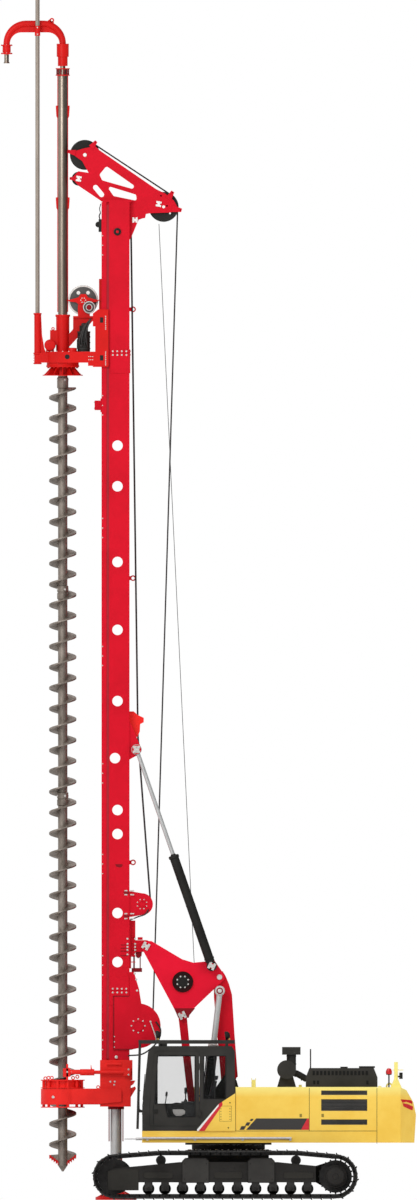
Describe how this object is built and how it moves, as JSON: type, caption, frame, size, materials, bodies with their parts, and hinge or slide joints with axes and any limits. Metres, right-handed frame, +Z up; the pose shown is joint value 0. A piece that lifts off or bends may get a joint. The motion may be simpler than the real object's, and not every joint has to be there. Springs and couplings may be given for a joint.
{
  "type": "rotary piling rig",
  "caption": "Tracked rotary piling rig with a tall box mast, sliding rotary head, long continuous flight auger, parallel boom linkage, glazed cab and counterweight.",
  "frame": {"origin": "on the ground, in the middle of the machine's length and width with the support jack lowered", "axes": "+Z up along the mast, -X towards the auger (front), -Y the cab side (left)"},
  "size_m": [7.7838, 4, 22.8],
  "materials": {
    "red_paint": "gloss",
    "yellow_paint": "gloss",
    "charcoal_paint": "satin",
    "track_steel": "matt",
    "auger_steel": "worn",
    "chrome": "polished",
    "glass": "clear",
    "black_paint": "satin",
    "sheave_steel": "satin",
    "seat_cover": "woven",
    "grey_paint": "satin"
  },
  "bodies": {
    "undercarriage": {"tracks": "track_steel", "idler_wheels": "track_steel", "drive_sprockets": "track_steel", "track_rollers": "track_steel", "side_frames": "charcoal_paint", "carbody": "charcoal_paint", "slewing_ring": "charcoal_paint"},
    "house": {"deck": "yellow_paint", "linkage_stand": "red_paint", "engine_house": "yellow_paint", "side_locker": "yellow_paint", "fuel_and_oil_tanks": "yellow_paint", "valve_cover": "yellow_paint", "engine": "grey_paint", "engine_hood": "charcoal_paint", "counterweight": "yellow_paint", "air_cleaner": "charcoal_paint", "cab_shell": "charcoal_paint", "cab_glass": "glass", "operator_seat": "seat_cover", "cab_guard": "charcoal_paint", "cab_side_cover": "yellow_paint"},
    "cab_door": {"cab_door": "charcoal_paint", "door_glass": "glass"},
    "boom": {"boom": "red_paint"},
    "front_link": {"front_link": "red_paint"},
    "delta": {"delta_plates": "red_paint"},
    "backstay_barrels": {"backstay_barrels": "black_paint"},
    "backstay_rods": {"backstay_rods": "chrome"},
    "lift_barrels": {"lift_cylinder_barrels": "black_paint"},
    "lift_rods": {"lift_cylinder_rods": "chrome"},
    "mast": {"mast_lower": "red_paint", "mast_middle": "red_paint", "mast_upper": "red_paint", "mast_head": "red_paint", "winch_frames": "red_paint", "mast_foot": "red_paint"},
    "support_jack": {"support_jack": "red_paint"},
    "front_sheaves": {"front_sheaves": "sheave_steel"},
    "rear_sheaves": {"rear_sheaves": "sheave_steel"},
    "small_sheave": {"small_sheave": "sheave_steel"},
    "main_winch_drum": {"main_winch_drum": "red_paint"},
    "aux_winch_drum": {"aux_winch_drum": "red_paint"},
    "rotary_head": {"head_carriage": "red_paint", "rotary_drive": "red_paint", "drive_motors": "black_paint", "gooseneck": "red_paint", "guide_rod": "auger_steel"},
    "head_sheave": {"head_sheave": "sheave_steel"},
    "auger_string": {"auger": "auger_steel", "drive_string": "auger_steel"}
  },
  "joints": [
    {"name": "slew", "type": "hinge", "parent": "undercarriage", "child": "house", "pos_m": [0.382, 0, 1.05], "axis": [0, 0, 1], "range_deg": [-20, 20]},
    {"name": "cab_door", "type": "hinge", "parent": "house", "child": "cab_door", "pos_m": [-0.15, -1.524, 2], "axis": [0, 0, 1], "range_deg": [0, 150]},
    {"name": "boom_luff", "type": "hinge", "parent": "house", "child": "boom", "pos_m": [0.397, 0, 2.237], "axis": [0, -1, 0], "range_deg": [-10, 15]},
    {"name": "front_link", "type": "hinge", "parent": "house", "child": "front_link", "pos_m": [-0.301, 0, 1.519], "axis": [0, -1, 0], "range_deg": [-10, 15]},
    {"name": "delta_level", "type": "hinge", "parent": "boom", "child": "delta", "pos_m": [0.216, 0, 4.179], "axis": [0, -1, 0], "range_deg": [-15, 10]},
    {"name": "lift_barrel_swing", "type": "hinge", "parent": "house", "child": "lift_barrels", "pos_m": [-0.049, 0, 1.594], "axis": [0, -1, 0], "range_deg": [-7.09, 10.64]},
    {"name": "lift_rod_slide", "type": "slide", "parent": "lift_barrels", "child": "lift_rods", "axis": [0.1152, 0, 0.9933], "range_m": [-0.10182, 0.06788]},
    {"name": "mast_tilt", "type": "hinge", "parent": "delta", "child": "mast", "pos_m": [-1.166, 0, 4.762], "axis": [0, -1, 0], "range_deg": [-15, 5]},
    {"name": "backstay_swing", "type": "hinge", "parent": "delta", "child": "backstay_barrels", "pos_m": [0.069, 0, 4.389], "axis": [0, -1, 0], "range_deg": [-12.59, 4.2]},
    {"name": "backstay_slide", "type": "slide", "parent": "backstay_barrels", "child": "backstay_rods", "axis": [-0.3278, 0, 0.9447], "range_m": [-0.2856, 0.0952]},
    {"name": "jack_raise", "type": "slide", "parent": "mast", "child": "support_jack", "axis": [0, 0, 1], "range_m": [0, 0.9]},
    {"name": "head_travel", "type": "slide", "parent": "mast", "child": "rotary_head", "axis": [0, 0, 1], "range_m": [-0.5, 1.2]},
    {"name": "auger_spin", "type": "hinge", "parent": "rotary_head", "child": "auger_string", "pos_m": [-2.724, 0, 10], "axis": [0, 0, 1], "continuous": true},
    {"name": "head_sheave_spin", "type": "hinge", "parent": "rotary_head", "child": "head_sheave", "pos_m": [-2.34, 0, 16.871], "axis": [0, 1, 0], "continuous": true},
    {"name": "front_sheaves_spin", "type": "hinge", "parent": "mast", "child": "front_sheaves", "pos_m": [-2.308, 0, 19.596], "axis": [0, 1, 0], "continuous": true},
    {"name": "rear_sheaves_spin", "type": "hinge", "parent": "mast", "child": "rear_sheaves", "pos_m": [-0.832, 0, 18.621], "axis": [0, 1, 0], "continuous": true},
    {"name": "small_sheave_spin", "type": "hinge", "parent": "mast", "child": "small_sheave", "pos_m": [-2.424, 0, 19.149], "axis": [0, 1, 0], "continuous": true},
    {"name": "main_winch_drum_spin", "type": "hinge", "parent": "mast", "child": "main_winch_drum", "pos_m": [-1.309, 0, 3.266], "axis": [0, 1, 0], "continuous": true},
    {"name": "aux_winch_drum_spin", "type": "hinge", "parent": "mast", "child": "aux_winch_drum", "pos_m": [-1.237, 0, 5.548], "axis": [0, 1, 0], "continuous": true}
  ],
  "couplings": [
    {"joint": "front_link", "follows": "boom_luff", "ratio": 1},
    {"joint": "delta_level", "follows": "boom_luff", "ratio": -1},
    {"joint": "lift_barrel_swing", "follows": "boom_luff", "ratio": 0.7092},
    {"joint": "lift_rod_slide", "follows": "boom_luff", "m_per_rad": -0.3889},
    {"joint": "backstay_swing", "follows": "mast_tilt", "ratio": 0.8394},
    {"joint": "backstay_slide", "follows": "mast_tilt", "m_per_rad": 1.0908}
  ]
}
